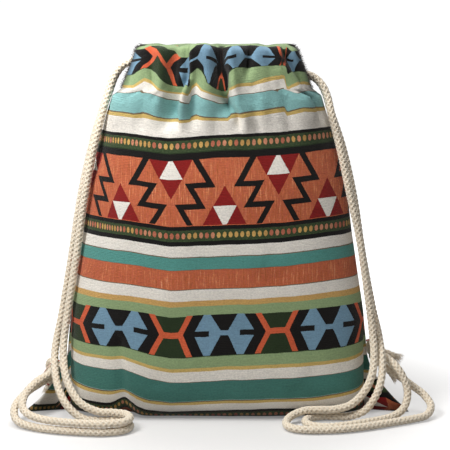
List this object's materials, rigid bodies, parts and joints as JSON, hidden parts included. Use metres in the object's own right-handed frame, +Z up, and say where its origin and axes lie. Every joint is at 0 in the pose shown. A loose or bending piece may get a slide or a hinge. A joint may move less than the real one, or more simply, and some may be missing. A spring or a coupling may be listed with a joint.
{
  "type": "drawstring backpack",
  "caption": "Drawstring backpack of folded patterned canvas with a gathered rope channel, rope shoulder straps knotted at both bottom corners.",
  "frame": {"origin": "on the ground under the middle of the standing bag", "axes": "+Z up towards the mouth, -Y towards the front, +X to the right as seen from the front"},
  "size_m": [0.4415, 0.1768, 0.3893],
  "materials": {
    "canvas": "heavy plain-weave cotton with a woven pattern of stripes and motifs",
    "rope": "soft round cotton braid",
    "ribbon": "narrow woven ribbon, red with pale edges"
  },
  "bodies": {
    "root": {"canvas_body": "canvas", "cord_left": "rope", "cord_right": "rope", "knot_left": "rope", "knot_right": "rope", "tab_left": "ribbon", "tab_right": "ribbon"}
  },
  "joints": []
}
